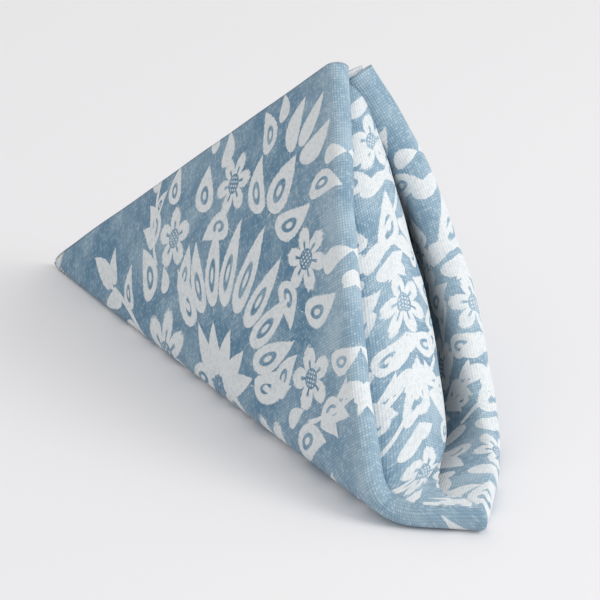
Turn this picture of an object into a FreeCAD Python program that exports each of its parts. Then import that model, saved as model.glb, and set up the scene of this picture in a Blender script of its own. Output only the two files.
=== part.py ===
"""A square woven table napkin, folded in quarters and bent round its diagonal into a standing cornet.

The folds are drawn from the tip of the cornet, where the four hemmed corners lie together. The keel runs from
it along +X on the table, the ridge of hemmed edges rises from it, and the mouth of folded edges faces +X and up.
Every outer face is a cone of straight lines from the tip, as bent cloth is. The napkin is then placed so that
the bottom centre of its outer box is the origin. Millimetres and degrees.
"""

import math
import os

import FreeCAD
import Part

SIZES = (
    ("cloth_side", 400.0, "side of the square napkin, from hem to hem"),
    ("cloth_thick", 0.6, "one layer of the woven cloth, with its air"),
    ("ridge_rise", 39.5, "angle of the ridge above the table"),
    ("ridge_yaw", 16.3, "angle of the near ridge from +X, seen from above"),
    ("ridge_spread", 7.5, "angle from the near ridge to the far ridge, seen from above"),
    ("keel_yaw", -3.0, "angle of the strip's near side from +X, seen from above"),
    ("keel_spread", 16.0, "angle that the strip on the table opens by"),
    ("keel_dip", 0.1, "angle that the keel is pressed flat by"),
    ("keel_bend", 4.5, "angle from a foot of the cornet to where its bend starts"),
    ("near_bow", 1.2, "angle that the near side bows outward by"),
    ("far_bow", 4.2, "angle that the far side bows outward by"),
    ("near_crown", 3.2, "swell of the near side between the tip and the mouth"),
    ("far_crown", 16.0, "swell of the far side between the tip and the mouth"),
    ("crown_skew", 1.6, "how near the mouth the swell is fullest, as a power of the distance"),
    ("near_roll", 8.8, "thickness of the thin fold at the near rim"),
    ("far_roll", 14.0, "thickness of the fat fold at the far rim"),
    ("roll_length", 42.0, "length over which a fold thins to its flat layers"),
    ("inner_top", 12.0, "width of the inner fold at the ridge"),
    ("inner_foot", 38.0, "width of the inner fold at the table"),
    ("inner_swell", 10.0, "width that the inner fold gains between the two"),
    ("inner_drop", 1.3, "how low that gain is fullest, as a power of the way down"),
    ("inner_slant", 0.45, "how far the inner fold's far edge lies back, as a share of its width"),
    ("inner_recess", 5.0, "distance of the inner fold behind the near rim"),
    ("crack_depth", 10.0, "depth of the crack between the near rim and the inner fold"),
    ("inner_lift", 2.0, "least angle of the inner fold's lower end above the table"),
    ("pocket_start", 44.0, "distance from the tip to the bottom of the pocket"),
    ("tip_overlap", 5.0, "length of the folds that lies in the solid tip"),
    ("tip_inset", 0.25, "depth of the solid tip's face below the outer face of the folds"),
    ("tip_blunt", 5.0, "distance from the true apex to the blunt end of the tip"),
)

OUTLINE_STEPS = 36
FINE_STEPS = 40


def make_sheet(doc):
    """The driving sizes, one to a row, each with an alias that names it."""
    sheet = doc.addObject("Spreadsheet::Sheet", "Sizes")
    for row, (name, value, meaning) in enumerate(SIZES, start=1):
        sheet.set(f"A{row}", name)
        sheet.set(f"B{row}", str(value))
        sheet.set(f"C{row}", meaning)
        sheet.setAlias(f"B{row}", name)
    doc.recompute()
    return sheet


def direction(yaw, rise):
    """The unit vector that points yaw degrees round from +X and rise degrees up."""
    flat = math.cos(math.radians(rise))
    return FreeCAD.Vector(
        flat * math.cos(math.radians(yaw)), flat * math.sin(math.radians(yaw)), math.sin(math.radians(rise))
    )


def unit(vector):
    return vector / vector.Length


def mixed(start, end, share):
    return start * (1 - share) + end * share


def bowed(start, end, bow, share):
    """A direction between two others, moved to their left by a bow in degrees that is full halfway."""
    across = unit(start.cross(end))
    return unit(mixed(start, end, share) + across * math.radians(bow) * math.sin(math.pi * share))


def evenly(rays, steps):
    """Rays at even angles along a curve that is given by close rays."""
    turned = [0.0]
    for before, after in zip(rays, rays[1:]):
        turned.append(turned[-1] + before.getAngle(after))
    even = []
    for step in range(steps + 1):
        goal = turned[-1] * step / steps
        i = max(k for k in range(len(rays) - 1) if turned[k] <= goal + 1e-12)
        share = min(1.0, (goal - turned[i]) / (turned[i + 1] - turned[i]))
        even.append(unit(mixed(rays[i], rays[i + 1], share)))
    return even


class Cornet:
    """The directions of the outer face from the tip, and how long, thick and swollen the cloth is along each."""

    def __init__(self, sheet):
        for name, _, _ in SIZES:
            setattr(self, name, float(getattr(sheet, name)))
        self.fold_side = self.cloth_side / 2
        self.fold_start = self.pocket_start - self.tip_overlap
        self.near_ridge = direction(self.ridge_yaw, self.ridge_rise)
        self.far_ridge = direction(self.ridge_yaw + self.ridge_spread, self.ridge_rise)
        self.near_foot = direction(self.keel_yaw, -self.keel_dip)
        self.far_foot = direction(self.keel_yaw + self.keel_spread, -self.keel_dip)
        self.rays = self.outline()
        turns = [a.getAngle(b) for a, b in zip(self.rays, self.rays[1:])]
        self.turned = [sum(turns[:i]) for i in range(len(self.rays))]

    def near_side(self, share):
        return bowed(self.near_ridge, self.near_foot, -self.near_bow, share)

    def far_side(self, share):
        return bowed(self.far_ridge, self.far_foot, self.far_bow, share)

    def bend(self, side, foot, other_foot):
        """Rays round the bend from a side, through its foot, onto the strip on the table."""
        reach = math.radians(self.keel_bend)
        start = side(1 - reach / side(0).getAngle(foot))
        end = mixed(foot, other_foot, min(0.48, reach / foot.getAngle(other_foot)))
        steps = [i / FINE_STEPS for i in range(FINE_STEPS + 1)]
        return [unit(start * (1 - t) ** 2 + foot * (2 * t * (1 - t)) + end * t * t) for t in steps]

    def half(self, side, foot, other_foot):
        """Close rays from a ridge down its side and round its bend."""
        stop = 1 - math.radians(self.keel_bend) / side(0).getAngle(foot)
        return [side(stop * i / FINE_STEPS) for i in range(FINE_STEPS)] + self.bend(side, foot, other_foot)

    def outline(self):
        """Rays at even angles from the near ridge down the near side, across the keel and up the far side."""
        near = self.half(self.near_side, self.near_foot, self.far_foot)
        far = self.half(self.far_side, self.far_foot, self.near_foot)
        return evenly(near + far[::-1], OUTLINE_STEPS)

    def share(self, index):
        """How far round the outline a ray lies, from 0 at the near ridge to 1 at the far ridge."""
        return self.turned[index] / self.turned[-1]

    def inward(self, index):
        """The normal of the outer face at a ray, into the cornet."""
        after = self.rays[min(index + 1, len(self.rays) - 1)]
        before = self.rays[max(index - 1, 0)]
        return unit(self.rays[index].cross(after - before))

    def reach(self, share):
        """Distance from the tip to the rim: the edge of the folded square, whose corner is at the keel."""
        return self.fold_side / math.cos(math.pi / 2 * min(share, 1 - share))

    def roll(self, share):
        """Thickness of the fold at the rim."""
        rise = min(1.0, max(0.0, (share - 0.5) / 0.2))
        return self.near_roll + (self.far_roll - self.near_roll) * rise * rise * (3 - 2 * rise)

    def layers(self, share):
        """Thickness of the flat layers behind the rim: three on the near side, four on the far side."""
        rise = min(1.0, max(0.0, (share - 0.4) / 0.2))
        return self.cloth_thick * (3 + rise)

    def crown(self, share):
        """Swell of the outer face between the tip and the mouth."""
        if share < 0.45:
            return self.near_crown * math.sin(math.pi * share / 0.45)
        if share < 0.55:
            return 0.0
        return self.far_crown * math.sin(math.pi * (1 - share) / 0.45)


def spline(points):
    """A smooth edge through points, with the same knots for every section of one loft."""
    curve = Part.BSplineCurve()
    last = len(points) - 1
    curve.interpolate(Points=points, Parameters=[i / last for i in range(len(points))])
    return curve.toShape()


def rounded(at, start, end, bulge):
    """A half ellipse from one place of a section to another, bulging along the ray."""
    angles = [math.pi * i / 6 for i in range(7)]
    middle = [(a + b) / 2 for a, b in zip(start, end)]
    half = [(b - a) / 2 for a, b in zip(start, end)]
    return spline(
        [
            at(
                middle[0] - half[0] * math.cos(angle) + bulge * math.sin(angle),
                middle[1] - half[1] * math.cos(angle),
            )
            for angle in angles
        ]
    )


def shell_section(cornet, index):
    """The outer fold cut along one ray: outer face, rounded rim, inner face and the end near the tip."""
    share = cornet.share(index)
    ray = cornet.rays[index]
    inward = cornet.inward(index)
    rim = cornet.reach(share)
    roll = cornet.roll(share)
    flat = cornet.layers(share)
    crown = cornet.crown(share)
    start = cornet.fold_start
    back = rim - roll / 2

    def at(along, depth):
        return ray * along + inward * depth

    def swell(along):
        return -crown * math.sin(math.pi * ((along - start) / (back - start)) ** cornet.crown_skew)

    outer_stops = [start + (back - start) * i / 4 for i in range(5)]
    outer = spline([at(stop, swell(stop)) for stop in outer_stops])
    nose = rounded(at, (back, 0), (back, roll), roll / 2)
    middle = back - cornet.roll_length / 2
    behind = back - cornet.roll_length
    halfway = (start + behind) / 2
    inner = spline(
        [
            at(back, roll),
            at(middle, (flat + roll) / 2 + swell(middle)),
            at(behind, flat + swell(behind)),
            at(halfway, flat + swell(halfway)),
            at(start, flat),
        ]
    )
    end = Part.LineSegment(at(start, flat), at(start, 0)).toShape()
    return Part.Wire([outer, nose, inner, end])


def make_shell(cornet):
    """The outer fold, from the near ridge round the keel to the far ridge."""
    sections = [shell_section(cornet, i) for i in range(len(cornet.rays))]
    return Part.makeLoft(sections, True, False)


def inner_width(cornet, down):
    """Width of the inner fold at a share of the way down the near side."""
    straight = cornet.inner_top * (1 - down) + cornet.inner_foot * down
    return straight + cornet.inner_swell * math.sin(math.pi * down**cornet.inner_drop)


def inner_section(cornet, index, down):
    """The inner fold cut along one ray of the near side, across and level."""
    ray = cornet.rays[index]
    across = unit(FreeCAD.Vector(-ray.y, ray.x, 0))
    share = cornet.share(index)
    rim = cornet.reach(share) - cornet.inner_recess
    width = inner_width(cornet, down)
    skin = 2 * cornet.cloth_thick
    start = cornet.fold_start + cornet.tip_overlap / 4
    notch = cornet.reach(share) - cornet.crack_depth
    shoulder = rim - cornet.inner_slant * width
    side = 0.8 * cornet.near_roll
    crown = cornet.crown(share)

    def at(along, depth):
        return ray * along + across * depth

    def swell(along):
        way = (along - start) / (notch - start)
        return -crown * math.sin(math.pi * way**cornet.crown_skew)

    stops = [start + (notch - start) * i / 4 for i in range(5)]
    near = spline([at(stop, skin + swell(stop)) for stop in stops])
    lead = Part.LineSegment(at(notch, skin + swell(notch)), at(notch, side)).toShape()
    front = rounded(at, (notch, side), (shoulder, side + width), rim - (notch + shoulder) / 2)
    inner_end = 4 * cornet.cloth_thick
    far = Part.LineSegment(at(shoulder, side + width), at(start, inner_end)).toShape()
    end = Part.LineSegment(at(start, inner_end), at(start, skin + swell(start))).toShape()
    return Part.Wire([near, lead, front, far, end])


def make_inner_fold(cornet):
    """The fat inner fold that stands beside the near rim."""
    lowest = math.sin(math.radians(cornet.inner_lift))
    last = max(i for i, ray in enumerate(cornet.rays) if cornet.share(i) < 0.5 and ray.z > lowest)
    sections = [inner_section(cornet, i, i / last) for i in range(last + 1)]
    return Part.makeLoft(sections, True, False)


def tip_outline(cornet, along):
    """The outer face cut by an upright plane across the keel."""
    rays = list(enumerate(cornet.rays))[::2]
    points = [ray * (along / ray.x) + cornet.inward(i) * cornet.tip_inset for i, ray in rays]
    points = [FreeCAD.Vector(along, point.y, point.z) for point in points]
    around = spline(points)
    across = Part.LineSegment(points[-1], points[0]).toShape()
    return Part.Wire([around, across])


def make_tip(cornet):
    """The solid end of the cornet, where the layers lie pressed together."""
    return Part.makeLoft([tip_outline(cornet, x) for x in (cornet.tip_blunt, cornet.pocket_start)], True, True)


def add_feature(doc, name, shape):
    feature = doc.addObject("Part::Feature", name)
    feature.Shape = shape
    return feature


def make_table(doc):
    """The space under the table top, which presses the keel flat."""
    table = doc.addObject("Part::Box", "TableSpace")
    table.setExpression("Length", "Sizes.cloth_side * 1.2")
    table.setExpression("Width", "Sizes.cloth_side")
    table.setExpression("Height", "Sizes.cloth_side * 0.1")
    table.setExpression("Placement.Base.x", "-Sizes.cloth_side * 0.2")
    table.setExpression("Placement.Base.y", "-Sizes.cloth_side * 0.5")
    table.setExpression("Placement.Base.z", "-Sizes.cloth_side * 0.1")
    return table


def join(doc, name, base, tool):
    """A union of two shapes of the document."""
    union = doc.addObject("Part::Fuse", name)
    union.Refine = False
    union.Base = base
    union.Tool = tool
    return union


def make_napkin(doc, sheet):
    cornet = Cornet(sheet)
    outer = add_feature(doc, "OuterFold", make_shell(cornet))
    inner = add_feature(doc, "InnerFold", make_inner_fold(cornet))
    tip = add_feature(doc, "Tip", make_tip(cornet))
    folds = join(doc, "Folds", outer, inner)
    napkin = doc.addObject("Part::Cut", "Napkin")
    napkin.Refine = False
    napkin.Base = join(doc, "FoldsAndTip", folds, tip)
    napkin.Tool = make_table(doc)
    napkin.Label = "napkin"
    return napkin


def place(napkin):
    """Move the napkin so that the bottom centre of its outer box is the origin."""
    box = napkin.Shape.optimalBoundingBox()
    base = FreeCAD.Vector((box.XMin + box.XMax) / 2, (box.YMin + box.YMax) / 2, box.ZMin)
    napkin.Placement = FreeCAD.Placement(base * -1, FreeCAD.Rotation())


def check(doc):
    for item in doc.Objects:
        if "Invalid" in item.State or "Error" in item.State:
            raise RuntimeError(f"{item.Label} could not be built")
        if hasattr(item, "Shape") and (item.Shape.isNull() or not item.Shape.isValid()):
            raise RuntimeError(f"{item.Label} has no valid shape")


def main():
    doc = FreeCAD.newDocument("FoldedNapkin")
    sheet = make_sheet(doc)
    napkin = make_napkin(doc, sheet)
    doc.recompute()
    place(napkin)
    doc.recompute()
    check(doc)
    os.makedirs("parts", exist_ok=True)
    napkin.Shape.exportStep(f"parts/{napkin.Label}.step")
    box = napkin.Shape.optimalBoundingBox()
    print(f"{napkin.Label}: {len(napkin.Shape.Solids)} solid, {napkin.Shape.Volume / 1000:.1f} cm3")
    print(f"x {box.XMin:.1f} {box.XMax:.1f}  y {box.YMin:.1f} {box.YMax:.1f}  z {box.ZMin:.1f} {box.ZMax:.1f}")


main()
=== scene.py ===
"""A square woven napkin, block-printed in white on blue, folded in quarters and bent into a standing cornet.

The cloth is one sheet. Its flat coordinates x and y run from hem to hem with the middle of the cloth at
(0, 0), and the folds lie on x = 0 and y = 0. All four corners of the cloth meet at the tip of the cornet, and
each point of the cloth is found by the ray from the tip that it lies on and its distance along that ray.
The share of a ray runs from 0 at the near ridge through 0.5 at the keel to 1 at the far ridge.

Lengths are in metres and angles in degrees. The motifs of the print are given in millimetres.
"""

import copy
import itertools
import math

import bpy
import numpy as np
from mathutils import Matrix, Vector


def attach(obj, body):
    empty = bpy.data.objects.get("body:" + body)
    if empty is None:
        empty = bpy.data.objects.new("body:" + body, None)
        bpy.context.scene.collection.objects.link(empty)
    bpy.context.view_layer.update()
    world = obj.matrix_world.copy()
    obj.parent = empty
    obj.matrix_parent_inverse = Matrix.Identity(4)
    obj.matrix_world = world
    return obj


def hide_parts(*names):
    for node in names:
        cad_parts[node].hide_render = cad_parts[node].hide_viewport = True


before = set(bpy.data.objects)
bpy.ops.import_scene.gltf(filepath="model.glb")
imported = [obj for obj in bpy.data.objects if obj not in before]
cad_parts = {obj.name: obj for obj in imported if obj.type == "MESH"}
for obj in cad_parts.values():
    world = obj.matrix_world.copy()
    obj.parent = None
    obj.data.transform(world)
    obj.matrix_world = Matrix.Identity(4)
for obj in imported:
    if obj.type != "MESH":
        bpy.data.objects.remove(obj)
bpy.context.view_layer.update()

SIDE = 0.2  # side of the folded square, from hem to fold
HEM = 0.008
CLOTH = 0.0006  # one layer with its air
TIP = np.array((-0.14321, -0.03309, 0.0))

# Directions from the tip.
RIDGE_RISE = 39.5
RIDGE_YAW = 16.3
RIDGE_SPREAD = 7.5  # from the near ridge to the far one
FAR_DROP = 2.0  # by which the far ridge lies lower than the near one
KEEL_YAW = -3.0
KEEL_SPREAD = 16.0
KEEL_DIP = 0.1
KEEL_BEND = 4.5  # reach of the bend between a side and the keel
KEEL_HALF = 0.48  # largest part of the keel that one bend takes
NEAR_BOW = 1.2
FAR_BOW = 4.2

# Shares of the rays.
KEEL = 0.5
KEEL_FROM, KEEL_TO = 0.40, 0.62
FAR_ROLL_FROM = 0.7  # where the far rim has its full roll
FACE_SPAN = 0.45  # that each side's crown takes
HEM_SPAN = 0.07  # beside each ridge, where the layers lie on their hems

# Sections along a ray.
NEAR_CROWN = 0.0032  # bulge of the near side between tip and rim
FAR_CROWN = 0.016
CROWN_SKEW = 1.6  # above 1 the bulge lies nearer to the rim
NEAR_ROLL = 0.0088  # thickness of the near rim
FAR_ROLL = 0.014
ROLL_LENGTH = 0.042  # in which the layers spread to the rim's thickness
CREASE = 80  # angle round the rim of the fold line at the keel
HEM_EXTRA = 1.1  # by which the hems thicken a layer, in layers
TIP_START = 0.005
TIP_WEDGE = 0.05  # distance from the tip in which the layers part

# The fat inner fold beside the near rim.
INNER_TOP = 0.012  # width at the ridge
INNER_FOOT = 0.038  # width at its lower end
INNER_SWELL = 0.01  # added to the width in between
INNER_DROP = 1.3  # above 1 the swell lies nearer to the lower end
INNER_SLANT = 0.45  # of the shoulder behind the front, in widths
INNER_RECESS = 0.005  # of the front behind the rim
INNER_END = 0.41  # share of the ray where the keel begins to take it in
CRACK_DEPTH = 0.010
KEEL_RECESS = 0.0027  # the recess at the keel
KEEL_NOTCH = 0.004  # the depth of the crack at the keel

# Rays from the near ridge to the far one, and places along each, in the tables of the layers.
RAYS = 181
STOPS = 161

# The turned hem and the cloth's surface.
HEM_WEDGE = 0.06  # distance from the tip in which the hem gets its full thickness
HEM_RAISE = 0.0001  # of the cloth over the hem's raw edge
HEM_UNDER = 0.0005  # of the turned part under the cloth
HEM_TURN = (-0.0004, 0.0008)  # distances past the hem's fold in which it turns
HEM_STEP = (-HEM - 0.001, -HEM + 0.0015)  # distances past the hem's fold in which the cloth rises
RIPPLE = 0.0005
RIPPLE_HEIGHTS = (0.004, 0.02)  # between which the ripple sets in above the table
LOWEST = 0.0004  # height of the cloth's middle above the table
FLOOR_DROP = 0.0004

THREAD = 0.001
BLUE_DARK = (0.095, 0.245, 0.385, 1)
BLUE_PALE = (0.50, 0.66, 0.76, 1)
# Painted shade: the blue darkened between the threads, where the relief of the weave would lie in shade.
BLUE_PAINTED_SHADE = (0.02, 0.07, 0.14, 1)  # between the threads
# The print's white: darker between the threads as painted shade, lighter on the crowns of the threads.
WHITE_PAINTED_SHADE = (0.74, 0.78, 0.80, 1)
WHITE_ON_THREAD_CROWNS = (0.84, 0.865, 0.87, 1)
FLOOR_COLOUR = (0.86, 0.86, 0.88)
ROOM_COLOUR = (1.0, 0.985, 0.975, 1)
# Painted highlight, with some wear: the blue is paler near the fold lines, which lie on the lit rims of the
# rolls.
FOLD_HIGHLIGHT_AND_WEAR, FOLD_HIGHLIGHT_AND_WEAR_FULL = 0.026, 0.004  # distances from a fold line
BARE_BAND = (-0.1955, -0.1965)  # y at which the blue ends beside one hem
BARE_CORNERS = (0.3900, 0.3935)  # sum of the distances x and y at which it ends at the corners

SLOTS = 3  # motifs that one face of the mesh can carry
LEAF, EYED_LEAF, STEM, FLOWER = 0, 1, 2, 10  # a flower's kind also counts its petals
NO_MOTIF = 9.0  # a place outside every motif
AT_INNER_FOLD, AT_FAR_FOLD = (0, 0), (0, 1)  # in place of four signs, for the borders
GARLAND_RUNS = (14, 45, 76, 107, 138, 169)  # places along the fold, from the middle of the cloth
GARLAND_HALF = 0.035  # reach of the border on each side of its fold
GARLAND_PAST_MIDDLE = 0.005
UNIT_PAST_FOLD = 0.03
MOTIF_MARGINS = 0.003, 0.004  # beyond a motif, along and across, that its faces still reach

VIEW_AZIMUTH, VIEW_ELEVATION = 58.9, 24.1
VIEW_DISTANCE = 1.2
VIEW_CENTRE = (0.12, 0.02, 0.05)  # from the tip
FOCAL = 3185 / 600  # in picture widths
AIM_RIGHT, AIM_DOWN = 58.7 / 600, 60.6 / 600  # in picture widths
SENSOR = 36


def smooth(low, high, value):
    """0 below low, 1 above high and a soft step between."""
    share = np.clip((value - low) / (high - low), 0.0, 1.0)
    return share * share * (3 - 2 * share)


def unit(vectors):
    return vectors / np.linalg.norm(vectors, axis=-1, keepdims=True)


def direction(yaw, rise):
    yaw, rise = math.radians(yaw), math.radians(rise)
    return np.array((math.cos(rise) * math.cos(yaw), math.cos(rise) * math.sin(yaw), math.sin(rise)))


def bowed(start, end, bow, share):
    """Directions between two others, moved to their left by a bow that is full halfway."""
    across = unit(np.cross(start, end))
    share = np.asarray(share)[..., None]
    return unit(start * (1 - share) + end * share + across * math.radians(bow) * np.sin(math.pi * share))


def outline(side_steps=60, bend_steps=40):
    """Even rays of the outer face, from the near ridge under the keel to the far ridge."""
    near_ridge = direction(RIDGE_YAW, RIDGE_RISE)
    far_ridge = direction(RIDGE_YAW + RIDGE_SPREAD, RIDGE_RISE - FAR_DROP)
    near_foot = direction(KEEL_YAW, -KEEL_DIP)
    far_foot = direction(KEEL_YAW + KEEL_SPREAD, -KEEL_DIP)
    reach = math.radians(KEEL_BEND)
    halves = []
    for ridge, foot, other, bow in (
        (near_ridge, near_foot, far_foot, -NEAR_BOW),
        (far_ridge, far_foot, near_foot, FAR_BOW),
    ):
        stop = 1 - reach / math.acos(ridge @ foot)
        side = bowed(ridge, foot, bow, np.linspace(0, stop, side_steps, endpoint=False))
        start = bowed(ridge, foot, bow, stop)
        end = foot + (other - foot) * min(KEEL_HALF, reach / math.acos(foot @ other))
        turn = np.linspace(0, 1, bend_steps)[:, None]
        bend = unit(start * (1 - turn) ** 2 + foot * 2 * turn * (1 - turn) + end * turn * turn)
        halves.append(np.vstack((side, bend)))
    rays = np.vstack((halves[0], halves[1][::-1]))
    steps = np.arccos(np.clip((rays[1:] * rays[:-1]).sum(1), -1, 1))
    turned = np.concatenate(((0.0,), np.cumsum(steps)))
    even = np.linspace(0, turned[-1], RAYS)
    rays = unit(np.stack([np.interp(even, turned, rays[:, axis]) for axis in range(3)], 1))
    rays[:, 2] = np.maximum(rays[:, 2], 0.0)
    return unit(rays)


def inward_normals(rays):
    """Normals of the outer face, smoothed from ray to ray."""
    after = np.vstack((rays[1:], rays[-1:]))
    before = np.vstack((rays[:1], rays[:-1]))
    normals = unit(np.cross(rays, after - before))
    for _ in range(3):
        normals[1:-1] = unit(normals[:-2] + 2 * normals[1:-1] + normals[2:])
    return normals


def resampled(points, count):
    """Points at even distances along a polyline."""
    points = np.asarray(points)
    lengths = np.concatenate(((0.0,), np.cumsum(np.linalg.norm(np.diff(points, axis=0), axis=1))))
    even = np.linspace(0, lengths[-1], count)
    return np.stack([np.interp(even, lengths, column) for column in points.T], 1)


class Section:
    """The cloth layers along one ray, in distance from the tip and depth inside the outer face."""

    def __init__(self, share):
        self.share = share
        from_ridge = min(share, 1 - share)
        self.reach = SIDE / math.cos(math.pi / 2 * from_ridge)
        self.roll = NEAR_ROLL + (FAR_ROLL - NEAR_ROLL) * float(smooth(KEEL, FAR_ROLL_FROM, share))
        self.back = self.reach - self.roll / 2
        self.gap = CLOTH * (1 + HEM_EXTRA * float(smooth(HEM_SPAN, 0.0, from_ridge)))
        self.keel = float(smooth(KEEL_FROM, KEEL, share)) * float(smooth(KEEL_TO, KEEL, share))
        self.crown = 0.0
        if from_ridge < FACE_SPAN:
            crown = NEAR_CROWN if share < KEEL else FAR_CROWN
            self.crown = crown * math.sin(math.pi * from_ridge / FACE_SPAN)
        down = min(share / INNER_END, 1.0)
        width = INNER_TOP * (1 - down) + INNER_FOOT * down
        width += INNER_SWELL * math.sin(math.pi * down**INNER_DROP)
        self.width = width * (1 - float(smooth(INNER_END, KEEL, share)))

    def swell(self, along):
        """Depth of the crown, below 0 because it bulges outward."""
        share = np.clip((along - TIP_START) / (self.back - TIP_START), 0, 1)
        return -self.crown * np.sin(math.pi * share**CROWN_SKEW)

    def wedge(self, along):
        """Share of a layer's depth: the layers come together at the tip."""
        return np.clip(along / TIP_WEDGE, 0.0, 1.0)

    def straight(self, depth, end, steps=50):
        """A layer at one depth, from the tip to a distance."""
        along = np.linspace(TIP_START, end, steps)
        return np.stack((along, depth * self.wedge(along) + self.swell(along)), 1)

    def nose(self, start, end, steps=24):
        """The rounded rim between two angles, where -90 is the outer face and 90 the inner."""
        angle = np.radians(np.linspace(start, end, steps))
        half = self.roll / 2
        return np.stack((self.back + half * np.cos(angle), half + half * np.sin(angle)), 1)

    def approach(self, depth, rise, steps=30):
        """A layer inside the wall that leaves it before the rim and rises to the back of the roll."""
        behind = self.reach - ROLL_LENGTH
        start = self.straight(depth, behind)
        along = np.linspace(behind, self.back, steps)[1:]
        share = smooth(0, 1, (along - behind) / (self.back - behind))
        return np.vstack((start, np.stack((along, depth + (rise - depth) * share + self.swell(along)), 1)))

    def crease(self):
        """Angle round the nose of the fold line, which slips to its inner side at the keel."""
        return CREASE * self.keel

    def middle(self):
        """Where the middle of the cloth, or the fold line inside the far roll, lies."""
        angle = math.radians(CREASE)
        half = self.roll / 2
        at_keel = np.array((self.back + half * math.cos(angle), half + half * math.sin(angle)))
        inside = np.array((self.reach - 3 * CLOTH, half))
        return at_keel * self.keel + inside * (1 - self.keel)

    def outer(self):
        """The outermost layer, from the tip round the nose to its fold line."""
        return np.vstack((self.straight(0.0, self.back), self.nose(-90, self.crease())[1:]))

    def turned_in(self, depth):
        """The layer that comes back from the nose, given from the tip."""
        wall = self.approach(depth, self.roll)
        return np.vstack((wall, self.nose(90, self.crease())[1:]))

    def inner_front(self, notch, rim, shoulder, side, steps=40):
        """The front of the fat inner fold, from the foot of the crack round to its shoulder."""
        angle = np.linspace(0, math.pi, steps)
        centre = ((notch + shoulder) / 2, side + self.width / 2)
        bulge = rim - centre[0]
        half = (shoulder - notch) / 2
        along = centre[0] - half * np.cos(angle) + bulge * np.sin(angle)
        front = np.stack((along, centre[1] - self.width / 2 * np.cos(angle)), 1)
        return front * (1 - self.keel) + self.middle() * self.keel

    def inner_fold(self, far_steps=60):
        """The two layers of the fat inner fold on the near side, each from the tip to its fold line."""
        keel = self.keel
        wall = self.approach(2 * self.gap, self.roll + self.gap)
        notch = self.reach - CRACK_DEPTH * (1 - keel) - KEEL_NOTCH * keel
        wall = wall[wall[:, 0] < notch]
        side = wall[-1, 1]
        rim = self.reach - INNER_RECESS * (1 - keel) - KEEL_RECESS * keel
        shoulder = rim - INNER_SLANT * self.width
        front = self.inner_front(notch, rim, shoulder, side)
        half = len(front) // 2
        near = np.vstack((wall, front[:half]))
        along = np.linspace(TIP_START, shoulder, far_steps)
        share = (along - TIP_START) / (shoulder - TIP_START)
        depth = 3 * self.gap * self.wedge(along) * (1 - share) + (side + self.width) * share
        far = np.vstack((np.stack((along, depth), 1), front[half - 1 : -1][::-1]))
        return self.levelled(near, 0.0), self.levelled(far, keel)

    def levelled(self, layer, keel):
        """Split a layer's depth into a part along the normal and a level part, past the roll's thickness."""
        along, depth = layer.T
        base = np.minimum(depth, self.roll)
        floor = self.approach(3 * self.gap, self.roll)
        low = np.interp(along, floor[:, 0], floor[:, 1])
        return np.stack((along, base * (1 - keel) + np.minimum(base, low) * keel, depth - base), 1)

    def hidden_fold(self, steps=120, turn=3):
        """The two layers inside the far roll, each from the tip to their fold line."""
        out = float(smooth(KEEL, KEEL_TO, self.share))
        low = self.approach(self.gap, self.roll - 2 * self.gap)
        flat = self.straight(self.gap, self.back)
        low = resampled(low, steps) * (1 - out) + resampled(flat, steps) * out
        high = self.approach(2 * self.gap, self.roll - self.gap)
        end = self.middle()
        return np.vstack((low[:-turn], end)), np.vstack((high[:-turn], end))

    def layers(self):
        """The four layers, from the outer face inward."""
        outer = self.outer()
        if self.share <= KEEL:
            second = self.turned_in(self.gap)
            third, fourth = self.inner_fold()
        else:
            second, third = self.hidden_fold()
            fourth = self.turned_in(3 * self.gap)
        return [resampled(layer, STOPS) for layer in (outer, second, third, fourth)]


def layer_tables():
    """For each layer, the place in space of each stop along each ray."""
    rays = outline()
    inward = inward_normals(rays)
    level = unit(np.stack((-rays[:, 1], rays[:, 0], np.zeros(RAYS)), 1))
    tables = np.zeros((4, RAYS, STOPS, 3))
    for i, share in enumerate(np.linspace(0, 1, RAYS)):
        axes = np.stack((rays[i], inward[i], level[i]))
        for k, layer in enumerate(Section(share).layers()):
            tables[k, i] = layer @ axes[: layer.shape[1]]
    return tables


def folded(x, y, tables):
    """Where points of the flat cloth lie once it is folded."""
    p = SIDE - np.abs(x)
    q = SIDE - np.abs(y)
    share = np.arctan2(q, p) / (math.pi / 2)
    reach = SIDE / np.cos(math.pi / 2 * np.minimum(share, 1 - share))
    stop = np.clip(np.hypot(p, q) / reach, 0, 1) * (STOPS - 1)
    ray = np.clip(share, 0, 1) * (RAYS - 1)
    layer = np.where(y > 0, np.where(x > 0, 0, 1), np.where(x > 0, 3, 2))
    i = np.minimum(ray.astype(int), RAYS - 2)
    j = np.minimum(stop.astype(int), STOPS - 2)
    a = (ray - i)[:, None]
    b = (stop - j)[:, None]
    corners = [tables[layer, i + di, j + dj] for di in (0, 1) for dj in (0, 1)]
    return (corners[0] * (1 - b) + corners[1] * b) * (1 - a) + (corners[2] * (1 - b) + corners[3] * b) * a


def grid_lines(fold_zone=0.018, before_hem=0.002, fold_lines=19, face_lines=112, hem_lines=16):
    """Flat coordinates of the mesh lines: close at the folds and at the turned hem."""
    hem_start = SIDE - HEM - before_hem
    fold = np.linspace(0, fold_zone, fold_lines)
    face = np.linspace(fold_zone, hem_start, face_lines)[1:]
    hem = np.linspace(hem_start, SIDE + HEM, hem_lines)[1:]
    half = np.concatenate((fold, face, hem))
    return np.concatenate((-half[:0:-1], half))


def ripple(places):
    """Shallow soft waves of the cloth, in metres."""
    x, y, z = (places * 100).T
    wave = np.sin(0.9 * x + 0.5 * z + 0.6) * np.sin(0.7 * z - 0.4 * x + 1.1)
    wave += 0.5 * np.sin(1.7 * z - 1.3 * x + 0.4 * y) * np.sin(0.8 * x + 1.4 * z)
    return RIPPLE * wave


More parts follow.
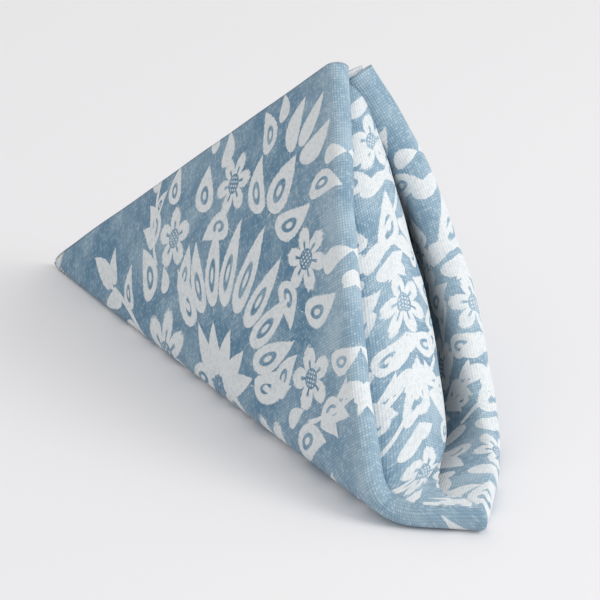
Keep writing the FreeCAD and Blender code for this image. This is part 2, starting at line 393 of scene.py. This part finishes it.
def cloth_normals(places, x, y, count):
    """Normals of the cloth, which keep their side where a hem is turned."""
    grid = places.reshape(count, count, 3)
    normals = np.cross(np.gradient(grid, axis=0), np.gradient(grid, axis=1)).reshape(-1, 3)
    normals = normals / np.maximum(np.linalg.norm(normals, axis=1, keepdims=True), 1e-12)
    turned = ((np.abs(x) > SIDE).astype(int) + (np.abs(y) > SIDE).astype(int)) % 2
    normals[turned == 1] *= -1
    return normals


def cloth_places(x, y, count):
    """Where the points of the mesh lie: folded, with the hems on the wrong side, and rippled."""
    inside_x = np.sign(x) * (SIDE - np.abs(SIDE - np.abs(x)))
    inside_y = np.sign(y) * (SIDE - np.abs(SIDE - np.abs(y)))
    places = folded(inside_x, inside_y, layer_tables())
    beyond = np.maximum(np.abs(x), np.abs(y)) - SIDE
    under = smooth(*HEM_TURN, beyond)
    raised = smooth(*HEM_STEP, beyond)
    wedge = np.clip(np.hypot(SIDE - np.abs(inside_x), SIDE - np.abs(inside_y)) / HEM_WEDGE, 0, 1)
    inward = wedge * (HEM_RAISE * raised - HEM_UNDER * under)
    places = places - cloth_normals(places, x, y, count) * inward[:, None]
    places[:, 1] += ripple(places) * smooth(*RIPPLE_HEIGHTS, places[:, 2])
    places += TIP
    places[:, 2] = np.maximum(places[:, 2], LOWEST)
    return places


def make_napkin():
    """The cloth as one mesh, with its flat coordinates and its print."""
    lines = grid_lines()
    count = len(lines)
    x, y = (axis.ravel() for axis in np.meshgrid(lines, lines, indexing="ij"))
    places = cloth_places(x, y, count)
    index = np.arange(count * count).reshape(count, count)
    faces = np.stack((index[:-1, :-1], index[1:, :-1], index[1:, 1:], index[:-1, 1:]), -1).reshape(-1, 4)
    mesh = bpy.data.meshes.new("napkin_cloth")
    mesh.from_pydata(places.tolist(), [], faces.tolist())
    flat = mesh.uv_layers.new(name="flat")
    loops = faces.ravel()
    flat.data.foreach_set("uv", np.stack((x[loops], y[loops]), 1).ravel())
    mesh.polygons.foreach_set("use_smooth", [True] * len(faces))
    add_print(mesh, x, y, faces)
    mesh.update()
    napkin = bpy.data.objects.new("napkin_cloth", mesh)
    bpy.context.scene.collection.objects.link(napkin)
    return napkin


class Motif:
    """A leaf, stem or flower of the print, in the frame of one quarter of the cloth.

    Along is the distance from the altitude of the folded triangle and up the distance from the diagonal. In a
    border, along is the distance from the middle of the cloth and up the distance from the fold.
    """

    def __init__(self, base, tip, width, bend, kind):
        base, tip = np.array(base) / 1000, np.array(tip) / 1000
        self.centre = (base + tip) / 2
        self.half = np.linalg.norm(tip - base) / 2
        self.axis = (tip - base) / (2 * self.half)
        self.width = width / 1000
        self.bend = bend / 1000
        self.kind = kind
        self.signs = (1, 1, 1, 1)

    def mirrored(self, signs):
        """A twin on another part of the cloth, which the signs name."""
        twin = copy.copy(self)
        twin.signs = signs
        return twin

    def local(self, x, y):
        """Places of the cloth in half lengths along the motif and half widths across it."""
        if self.signs == AT_INNER_FOLD:
            return self.scaled(-y - self.centre[0], x - self.centre[1])
        if self.signs == AT_FAR_FOLD:
            return self.scaled(x - self.centre[0], y - self.centre[1])
        along, up, right, front = self.signs
        p, q = SIDE - right * x, SIDE - front * y
        place_along = along * ((p + q) / math.sqrt(2) - SIDE / math.sqrt(2)) - self.centre[0]
        place_up = up * (p - q) / math.sqrt(2) - self.centre[1]
        return self.scaled(place_along, place_up)

    def scaled(self, place_along, place_up):
        ahead = (place_along * self.axis[0] + place_up * self.axis[1]) / self.half
        across = -place_along * self.axis[1] + place_up * self.axis[0] - self.bend * (1 - ahead**2)
        return ahead, across / self.width


def leaf(base, tip, width=4.0, bend=2.0, eye=False):
    return Motif(base, tip, width, bend, EYED_LEAF if eye else LEAF)


def stem(base, tip, bend=0.0, width=0.9):
    return Motif(base, tip, width, bend, STEM)


def flower(centre, radius, petals, turn=90):
    """A flower, given by its radius, with its first petal at an angle."""
    spread = radius * np.array((math.cos(math.radians(turn)), math.sin(math.radians(turn))))
    return Motif(np.array(centre) - spread, np.array(centre) + spread, radius, 0.0, FLOWER + petals)


def spray(base, tip, bend, leaves, size):
    """A bent stem with leaves on both sides and one at its end."""
    base, tip = np.array(base, float), np.array(tip, float)
    run = tip - base
    side = np.array((-run[1], run[0])) / np.linalg.norm(run)
    ahead = run / np.linalg.norm(run)
    parts = [stem(base, tip, bend)]
    for n in range(leaves):
        share = (n + 0.6) / leaves
        foot = base + run * share + side * bend * (1 - (2 * share - 1) ** 2)
        hand = 1 if n % 2 else -1
        reach = size * (1.05 - 0.35 * share)
        end = foot + ahead * reach * 0.75 + side * hand * reach * 0.72
        start = foot + (end - foot) * 0.12
        parts.append(leaf(start, end, reach * 0.21, -hand * reach * 0.12, n % 3 == 1))
    parts.append(leaf(tip, tip + ahead * size * 0.95 - side * bend * 0.5, size * 0.2, 1.0))
    return parts


def palmette(base, height, petals):
    """A fan of pointed petals on the altitude, with a bud inside it."""
    parts = []
    for n in range(petals):
        turn = n / (petals - 1)
        angle = math.radians(90 - 64 * turn)
        reach = height * (1.0 - 0.14 * turn)
        way = np.array((math.cos(angle), math.sin(angle)))
        start = np.array(base) + way * height * 0.46
        parts.append(leaf(start, np.array(base) + way * reach, height * 0.082, -1.2 if n else 0.0, True))
    for n, (angle, reach) in enumerate(((90, 0.36), (58, 0.38), (32, 0.44))):
        way = np.array((math.cos(math.radians(angle)), math.sin(math.radians(angle))))
        start = np.array(base) + way * height * 0.07
        parts.append(leaf(start, np.array(base) + way * height * reach, height * 0.066, -0.8 if n else 0.0))
    return parts


def print_unit():
    """The motifs of one eighth of the cloth, which the rest mirrors."""
    parts = palmette((0, 17), 60, 5)
    parts += [
        leaf((0, 82), (0, 104), 6.5, 0, True),
        leaf((6, 79), (20, 95), 5.5, -3.0, True),
        leaf((4, 103), (10, 122), 4.2, -2.0),
        leaf((0, 107), (0, 128), 3.4, 0),
        leaf((5, 17), (22, 5), 5.0, 3.0, True),
        leaf((0, 2), (0, 15), 4.0, 0),
        flower((31, 79), 11.5, 6, 20),
        flower((56, 47), 11.0, 5, 60),
        flower((42, 9), 16.5, 7, 80),
        leaf((22, 66), (36, 55), 5.0, 2.6, True),
        leaf((41, 64), (53, 77), 5.6, -2.6, True),
        leaf((17, 97), (31, 107), 4.6, 2.4, True),
        leaf((43, 80), (50, 92), 3.6, 1.8),
        leaf((60, 22), (76, 34), 5.6, 2.8, True),
        leaf((64, 57), (74, 68), 4.6, -2.4, True),
        leaf((41, 33), (44, 50), 4.6, 2.0, True),
        leaf((25, 29), (38, 42), 5.0, -2.8, True),
        leaf((68, 39), (84, 47), 4.6, 2.2, True),
        leaf((52, 28), (57, 36), 3.0, 1.0),
        leaf((17, 109), (24, 117), 3.0, 1.2),
        leaf((53, 82), (62, 86), 2.8, 1.0),
    ]
    parts += spray((58, 6), (92, 13), 2.5, 4, 19)
    parts += spray((62, 34), (84, 57), -2.0, 3, 14)
    return parts


def garland(count):
    """The first motifs of the border along a fold, given along it and across it."""
    parts = []
    for n, run in enumerate(GARLAND_RUNS[:count]):
        if n % 2:
            parts.append(flower((run, 1), 11.0, 6 - n % 3 // 2, 15 * n))
            parts.append(leaf((run - 7, 13), (run + 5, 23), 4.2, 2.2, True))
            parts.append(leaf((run + 5, -12), (run - 8, -21), 4.2, 2.2, True))
        else:
            parts.append(leaf((run - 10, -4), (run + 12, 3), 5.6, 2.6, True))
            parts.append(leaf((run + 1, 8), (run - 12, 17), 3.8, -2.2))
            parts.append(leaf((run - 4, -11), (run + 9, -18), 3.8, -2.2, True))
            parts.append(stem((run - 12, -16), (run + 14, 14), 3.0))
            parts.append(leaf((run + 6, 16), (run + 2, 28), 3.6, 1.6))
        parts.append(leaf((run + 14, -9), (run + 20, 6), 3.4, 1.8))
        parts.append(leaf((run + 15, 11), (run + 24, 21), 3.0, -1.4, True))
        parts.append(leaf((run + 17, -14), (run + 8, -25), 3.2, 1.4))
    return parts


def print_motifs():
    """Every motif: the borders, and the unit mirrored about the altitude, the diagonal and the two folds."""
    motifs = [part.mirrored(AT_INNER_FOLD) for part in garland(6)]
    motifs += [part.mirrored(AT_FAR_FOLD) for part in garland(5)]
    for part in print_unit():
        on_altitude = abs(part.centre[0]) < 1e-6 and part.bend == 0
        for signs in itertools.product((1, -1), repeat=4):
            if not (on_altitude and signs[0] < 0):
                motifs.append(part.mirrored(signs))
    return motifs


def around(motif, x, y):
    """The numbers of the places in the part of the cloth that a motif belongs to."""
    if motif.signs == AT_INNER_FOLD:
        near = (np.abs(x) < GARLAND_HALF) & (y < GARLAND_PAST_MIDDLE)
    elif motif.signs == AT_FAR_FOLD:
        near = (np.abs(y) < GARLAND_HALF) & (x > -GARLAND_PAST_MIDDLE)
    else:
        right, front = motif.signs[-2:]
        near = (right * x > -UNIT_PAST_FOLD) & (front * y > -UNIT_PAST_FOLD)
    return np.nonzero(near)[0]


def nearest_motifs(x, y, motifs):
    """For each face, by its centre, the numbers of the motifs that lie nearest to it."""
    scores = np.full((SLOTS, len(x)), 1e9)
    numbers = np.full((SLOTS, len(x)), -1)
    for number, motif in enumerate(motifs):
        near = around(motif, x, y)
        ahead, across = motif.local(x[near], y[near])
        score = np.hypot(ahead, across)
        length = 1 + MOTIF_MARGINS[0] / motif.half
        margin = 1 + MOTIF_MARGINS[1] / min(motif.half, motif.width)
        reached = (np.abs(ahead) < length) & (np.abs(across) < margin) & (score < 2 * margin)
        near, score = near[reached], score[reached]
        number_here = np.full(len(near), number)
        for slot in range(SLOTS):
            better = score < scores[slot, near]
            old_score, old_number = scores[slot, near].copy(), numbers[slot, near].copy()
            scores[slot, near[better]] = score[better]
            numbers[slot, near[better]] = number_here[better]
            score = np.where(better, old_score, score)
            number_here = np.where(better, old_number, number_here)
    return numbers


def add_print(mesh, x, y, faces):
    """Store on each face corner where it lies within the nearest motifs."""
    motifs = print_motifs()
    numbers = nearest_motifs(x[faces].mean(1), y[faces].mean(1), motifs)
    for slot in range(SLOTS):
        values = np.zeros((len(faces), 4, 3))
        values[..., :2] = NO_MOTIF
        order = np.argsort(numbers[slot], kind="stable")
        starts = np.searchsorted(numbers[slot][order], np.arange(len(motifs) + 1))
        for number, motif in enumerate(motifs):
            mine = order[starts[number] : starts[number + 1]]
            if len(mine):
                ahead, across = motif.local(x[faces[mine]], y[faces[mine]])
                values[mine] = np.stack((ahead, across, np.full(ahead.shape, float(motif.kind))), -1)
        attribute = mesh.attributes.new(f"motif_{slot}", "FLOAT_VECTOR", "CORNER")
        attribute.data.foreach_set("vector", values.ravel().astype(np.float32))


class Nodes:
    """Short calls that add shader nodes to a tree."""

    def __init__(self, tree):
        self.tree = tree

    def new(self, kind, **settings):
        node = self.tree.nodes.new(kind)
        for name, value in settings.items():
            setattr(node, name, value)
        return node

    def put(self, socket, value):
        if isinstance(value, bpy.types.NodeSocket):
            self.tree.links.new(value, socket)
        else:
            socket.default_value = value

    def math(self, operation, *values, clamp=False):
        node = self.new("ShaderNodeMath", operation=operation, use_clamp=clamp)
        for socket, value in zip(node.inputs, values):
            self.put(socket, value)
        return node.outputs[0]

    def plus(self, first, second, clamp=False):
        return self.math("ADD", first, second, clamp=clamp)

    def minus(self, first, second, clamp=False):
        return self.math("SUBTRACT", first, second, clamp=clamp)

    def times(self, first, second):
        return self.math("MULTIPLY", first, second)

    def larger(self, first, second):
        return self.math("MAXIMUM", first, second)

    def size(self, value):
        return self.math("ABSOLUTE", value)

    def length(self, first, second):
        squares = [self.math("POWER", self.size(value), 2.0) for value in (first, second)]
        return self.math("SQRT", self.plus(*squares))

    def waves(self, first, second, pitch):
        """The product of two sines."""
        return self.times(*(self.math("SINE", self.times(value, pitch)) for value in (first, second)))

    def step(self, low, high, value):
        """0 below low, 1 above high and a soft step between."""
        node = self.new("ShaderNodeMapRange", interpolation_type="SMOOTHSTEP")
        self.put(node.inputs["Value"], value)
        node.inputs["From Min"].default_value = low
        node.inputs["From Max"].default_value = high
        return node.outputs["Result"]

    def mix(self, share, first, second):
        """Two colours mixed, which the node takes in its sockets 6 and 7."""
        node = self.new("ShaderNodeMix", data_type="RGBA")
        self.put(node.inputs[0], share)
        self.put(node.inputs[6], first)
        self.put(node.inputs[7], second)
        return node.outputs[2]

    def noise(self, place, scale, detail=2.0, roughness=0.5):
        node = self.new("ShaderNodeTexNoise")
        self.put(node.inputs["Vector"], place)
        node.inputs["Scale"].default_value = scale
        node.inputs["Detail"].default_value = detail
        node.inputs["Roughness"].default_value = roughness
        return node.outputs["Fac"]

    def vector(self, operation, place, factors=None):
        node = self.new("ShaderNodeVectorMath", operation=operation)
        self.put(node.inputs[0], place)
        if factors:
            node.inputs[1].default_value = factors
        return node.outputs[0]

    def split(self, place):
        node = self.new("ShaderNodeSeparateXYZ")
        self.put(node.inputs[0], place)
        return node.outputs


def leaf_cover(nodes, ahead, across, side, kind, wear):
    """A leaf that is round at its foot and pointed at its tip, with a ring in it where it has an eye."""
    taper = nodes.minus(1.0, ahead)
    round_foot = nodes.math("SQRT", nodes.larger(nodes.plus(ahead, 1.0), 0.0))
    width = nodes.times(nodes.times(taper, round_foot), 0.92)
    blade = nodes.step(-0.06, 0.06, nodes.plus(nodes.minus(width, side), wear))
    eye = nodes.length(nodes.times(nodes.plus(ahead, 0.25), 2.4), nodes.times(across, 2.3))
    ring = nodes.times(nodes.step(1.1, 0.9, eye), nodes.step(0.35, 0.55, eye))
    has_eye = nodes.math("COMPARE", kind, float(EYED_LEAF), 0.5)
    return nodes.minus(blade, nodes.times(ring, has_eye), clamp=True)


def stem_cover(nodes, ahead, side):
    """A line of even width."""
    within = nodes.step(1.02, 0.98, nodes.size(ahead))
    return nodes.times(within, nodes.step(-0.1, 0.1, nodes.minus(1.0, side)))


def flower_cover(nodes, ahead, across, side, kind, wear):
    """Round petals with a vein along each, about a heart of dots."""
    half_petals = nodes.times(nodes.minus(kind, float(FLOWER)), 0.5)
    angle = nodes.math("ARCTAN2", across, ahead)
    petal = nodes.size(nodes.math("COSINE", nodes.times(angle, half_petals)))
    rim = nodes.plus(nodes.times(nodes.math("POWER", petal, 0.7), 0.62), 0.38)
    radius = nodes.length(side, ahead)
    bloom = nodes.step(-0.05, 0.05, nodes.plus(nodes.minus(rim, radius), wear))
    vein = nodes.times(nodes.step(0.93, 0.98, petal), nodes.step(0.62, 0.5, radius))
    petals = nodes.times(nodes.minus(bloom, vein, clamp=True), nodes.step(0.30, 0.34, radius))
    dots = nodes.step(0.25, 0.5, nodes.waves(ahead, across, 34.0))
    return nodes.larger(petals, nodes.times(nodes.step(0.28, 0.24, radius), dots))


def motif_group():
    """The shape of one motif: its cover, from its place in half lengths and half widths and its kind."""
    tree = bpy.data.node_groups.new("motif", "ShaderNodeTree")
    tree.interface.new_socket("Place", in_out="INPUT", socket_type="NodeSocketVector")
    tree.interface.new_socket("Wear", in_out="INPUT", socket_type="NodeSocketFloat")
    tree.interface.new_socket("Cover", in_out="OUTPUT", socket_type="NodeSocketFloat")
    nodes = Nodes(tree)
    start = nodes.new("NodeGroupInput")
    end = nodes.new("NodeGroupOutput")
    ahead, across, kind = nodes.split(start.outputs["Place"])
    wear = start.outputs["Wear"]
    side = nodes.size(across)
    is_leaf = nodes.math("LESS_THAN", kind, STEM - 0.5)
    is_stem = nodes.math("COMPARE", kind, float(STEM), 0.5)
    is_flower = nodes.math("GREATER_THAN", kind, FLOWER - 0.5)
    cover = nodes.times(leaf_cover(nodes, ahead, across, side, kind, wear), is_leaf)
    cover = nodes.larger(cover, nodes.times(stem_cover(nodes, ahead, side), is_stem))
    flowers = flower_cover(nodes, ahead, across, side, kind, wear)
    nodes.put(end.inputs["Cover"], nodes.larger(cover, nodes.times(flowers, is_flower)))
    return tree


def plain_weave(nodes, flat):
    """Height of the threads, and a random value for each crossing of two threads."""
    threads = nodes.vector("MULTIPLY", flat, (1 / THREAD, 1 / THREAD, 0))
    warp, weft, _ = nodes.split(threads)
    height = nodes.size(nodes.waves(warp, weft, math.pi))
    speck = nodes.new("ShaderNodeTexWhiteNoise", noise_dimensions="2D")
    nodes.put(speck.inputs["Vector"], nodes.vector("FLOOR", threads))
    return height, speck.outputs["Value"]


def slubs(nodes, flat, along=60.0, across=1300.0):
    """Thick places in single threads, both ways."""
    warp = nodes.noise(nodes.vector("MULTIPLY", flat, (along, across, 1.0)), 1.0, 2.0, 0.6)
    weft = nodes.noise(nodes.vector("MULTIPLY", flat, (across, along, 1.0)), 1.0, 2.0, 0.6)
    return nodes.larger(nodes.step(0.50, 0.78, warp), nodes.step(0.50, 0.78, weft))


def ground_colour(nodes, flat, mottle, slub, speck, from_fold):
    """The blue of the cloth, paler in patches, on slubs, on single crossings, and along the folds, where a
    painted highlight with some wear lies on the lit rims of the rolls.
    """
    cloud = nodes.noise(flat, 14.0, 2.0, 0.5)
    # Painted highlight along the fold lines on the lit rims, partly also wear.
    fold_highlight_and_wear = nodes.step(FOLD_HIGHLIGHT_AND_WEAR, FOLD_HIGHLIGHT_AND_WEAR_FULL, from_fold)
    pale = nodes.times(nodes.step(0.38, 0.68, mottle), 0.42)
    pale = nodes.plus(pale, nodes.times(nodes.step(0.35, 0.65, cloud), 0.16))
    pale = nodes.plus(pale, nodes.times(slub, 0.34))
    pale = nodes.plus(pale, nodes.times(nodes.step(0.55, 1.0, speck), 0.34))
    pale = nodes.plus(pale, nodes.times(fold_highlight_and_wear, 0.40), clamp=True)
    return nodes.mix(pale, BLUE_DARK, BLUE_PALE)


def print_cover(nodes, flat, mottle, speck, off):
    """Where the cloth is white: the motifs, with worn edges and thin places, and the bare edges."""
    wear = nodes.times(nodes.minus(nodes.noise(flat, 900.0, 2.0, 0.6), 0.5), 0.32)
    group = motif_group()
    cover = 0.0
    for slot in range(SLOTS):
        place = nodes.new("ShaderNodeAttribute", attribute_name=f"motif_{slot}").outputs["Vector"]
        motif = nodes.new("ShaderNodeGroup", node_tree=group)
        nodes.put(motif.inputs["Place"], place)
        nodes.put(motif.inputs["Wear"], wear)
        cover = nodes.larger(cover, motif.outputs["Cover"])
    band = nodes.step(*BARE_BAND, nodes.split(flat)[1])
    corner = nodes.step(*BARE_CORNERS, nodes.plus(off[0], off[1]))
    cover = nodes.larger(cover, nodes.larger(band, corner))
    thin = nodes.step(0.42, 0.9, nodes.times(speck, nodes.plus(mottle, 0.4)))
    return nodes.times(cover, nodes.minus(1.0, nodes.times(thin, 0.22)))


def cloth_material():
    """Blue plain weave, mottled, paler at the folds where a painted highlight with some wear lies on the lit
    rims, darkened between the threads with painted shade, block-printed in white.
    """
    material = bpy.data.materials.new("printed_cloth")
    material.use_nodes = True
    nodes = Nodes(material.node_tree)
    shader = material.node_tree.nodes["Principled BSDF"]
    flat = nodes.new("ShaderNodeUVMap", uv_map="flat").outputs["UV"]
    height, speck = plain_weave(nodes, flat)
    mottle = nodes.noise(flat, 55.0, 4.0, 0.6)
    slub = slubs(nodes, flat)
    off = nodes.split(nodes.vector("ABSOLUTE", flat))
    from_fold = nodes.math("MINIMUM", off[0], off[1])

    ground = ground_colour(nodes, flat, mottle, slub, speck, from_fold)
    # Painted shade between the threads: the ground darkens where the threads are low.
    ground_with_painted_shade = nodes.mix(nodes.times(height, 0.8), nodes.mix(0.62, BLUE_PAINTED_SHADE, ground), ground)
    # The white is shaded the same way: painted shade where the threads are low.
    white = nodes.mix(nodes.times(height, 0.5), WHITE_PAINTED_SHADE, WHITE_ON_THREAD_CROWNS)
    cover = print_cover(nodes, flat, mottle, speck, off)
    nodes.put(shader.inputs["Base Color"], nodes.mix(cover, ground_with_painted_shade, white))

    bump = nodes.new("ShaderNodeBump")
    bump.inputs["Strength"].default_value = 0.55
    bump.inputs["Distance"].default_value = 0.00025
    relief = nodes.plus(height, nodes.times(mottle, 1.2))
    nodes.put(bump.inputs["Height"], nodes.plus(relief, nodes.times(slub, 0.5)))
    nodes.put(shader.inputs["Normal"], bump.outputs["Normal"])
    nodes.put(shader.inputs["Roughness"], nodes.plus(nodes.times(height, -0.1), 0.92))
    shader.inputs["Sheen Weight"].default_value = 0.18
    shader.inputs["Sheen Roughness"].default_value = 0.6
    shader.inputs["Specular IOR Level"].default_value = 0.2
    return material


def plain_material(name, colour, roughness):
    material = bpy.data.materials.new(name)
    material.use_nodes = True
    shader = material.node_tree.nodes["Principled BSDF"]
    shader.inputs["Base Color"].default_value = (*colour, 1)
    shader.inputs["Roughness"].default_value = roughness
    return material


def make_floor():
    """The pale table, just below the cloth."""
    bpy.ops.mesh.primitive_plane_add(size=8, location=(0, 0, -FLOOR_DROP))
    floor = bpy.context.object
    floor.name = "floor"
    floor.data.materials.append(plain_material("floor", FLOOR_COLOUR, 0.9))


def camera_axes(azimuth, elevation):
    """Unit vectors from the target towards the camera, to its right and up."""
    a, e = math.radians(azimuth), math.radians(elevation)
    toward = np.array((math.sin(a) * math.cos(e), -math.cos(a) * math.cos(e), math.sin(e)))
    right = np.array((math.cos(a), math.sin(a), 0.0))
    return toward, right, np.cross(toward, right)


def make_camera():
    """The view of the photograph, on the near side and the mouth."""
    toward, right, up = camera_axes(VIEW_AZIMUTH, VIEW_ELEVATION)
    look = TIP + np.array(VIEW_CENTRE)
    eye = look + toward * VIEW_DISTANCE
    aim = look + right * (AIM_RIGHT / FOCAL * VIEW_DISTANCE) - up * (AIM_DOWN / FOCAL * VIEW_DISTANCE)
    back = unit(eye - aim)
    side = unit(np.cross(np.array((0, 0, 1.0)), back))
    top = np.cross(back, side)
    camera = bpy.data.objects.new("camera", bpy.data.cameras.new("camera"))
    camera.data.lens = FOCAL * SENSOR
    camera.data.sensor_width = SENSOR
    rows = [[side[i], top[i], back[i], eye[i]] for i in range(3)]
    camera.matrix_world = Matrix(rows + [[0, 0, 0, 1]])
    bpy.context.scene.collection.objects.link(camera)
    bpy.context.scene.camera = camera


def area_light(name, place, target, size, power):
    data = bpy.data.lights.new(name, "AREA")
    data.size = size
    data.energy = power
    light = bpy.data.objects.new(name, data)
    light.location = place
    light.rotation_euler = (Vector(target) - Vector(place)).to_track_quat("-Z", "Y").to_euler()
    bpy.context.scene.collection.objects.link(light)


def make_light():
    """A window from the right and behind, in a bright even room."""
    area_light("window", place=(1.5, 1.1, 1.3), target=(0, 0, 0.05), size=1.2, power=24)
    world = bpy.data.worlds.new("studio")
    bpy.context.scene.world = world
    world.use_nodes = True
    background = world.node_tree.nodes["Background"]
    background.inputs["Color"].default_value = ROOM_COLOUR
    background.inputs["Strength"].default_value = 0.75


napkin = make_napkin()
napkin.data.materials.append(cloth_material())
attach(napkin, "root")
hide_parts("napkin")
make_floor()
make_camera()
make_light()

scene = bpy.context.scene
scene.view_settings.view_transform = "Standard"
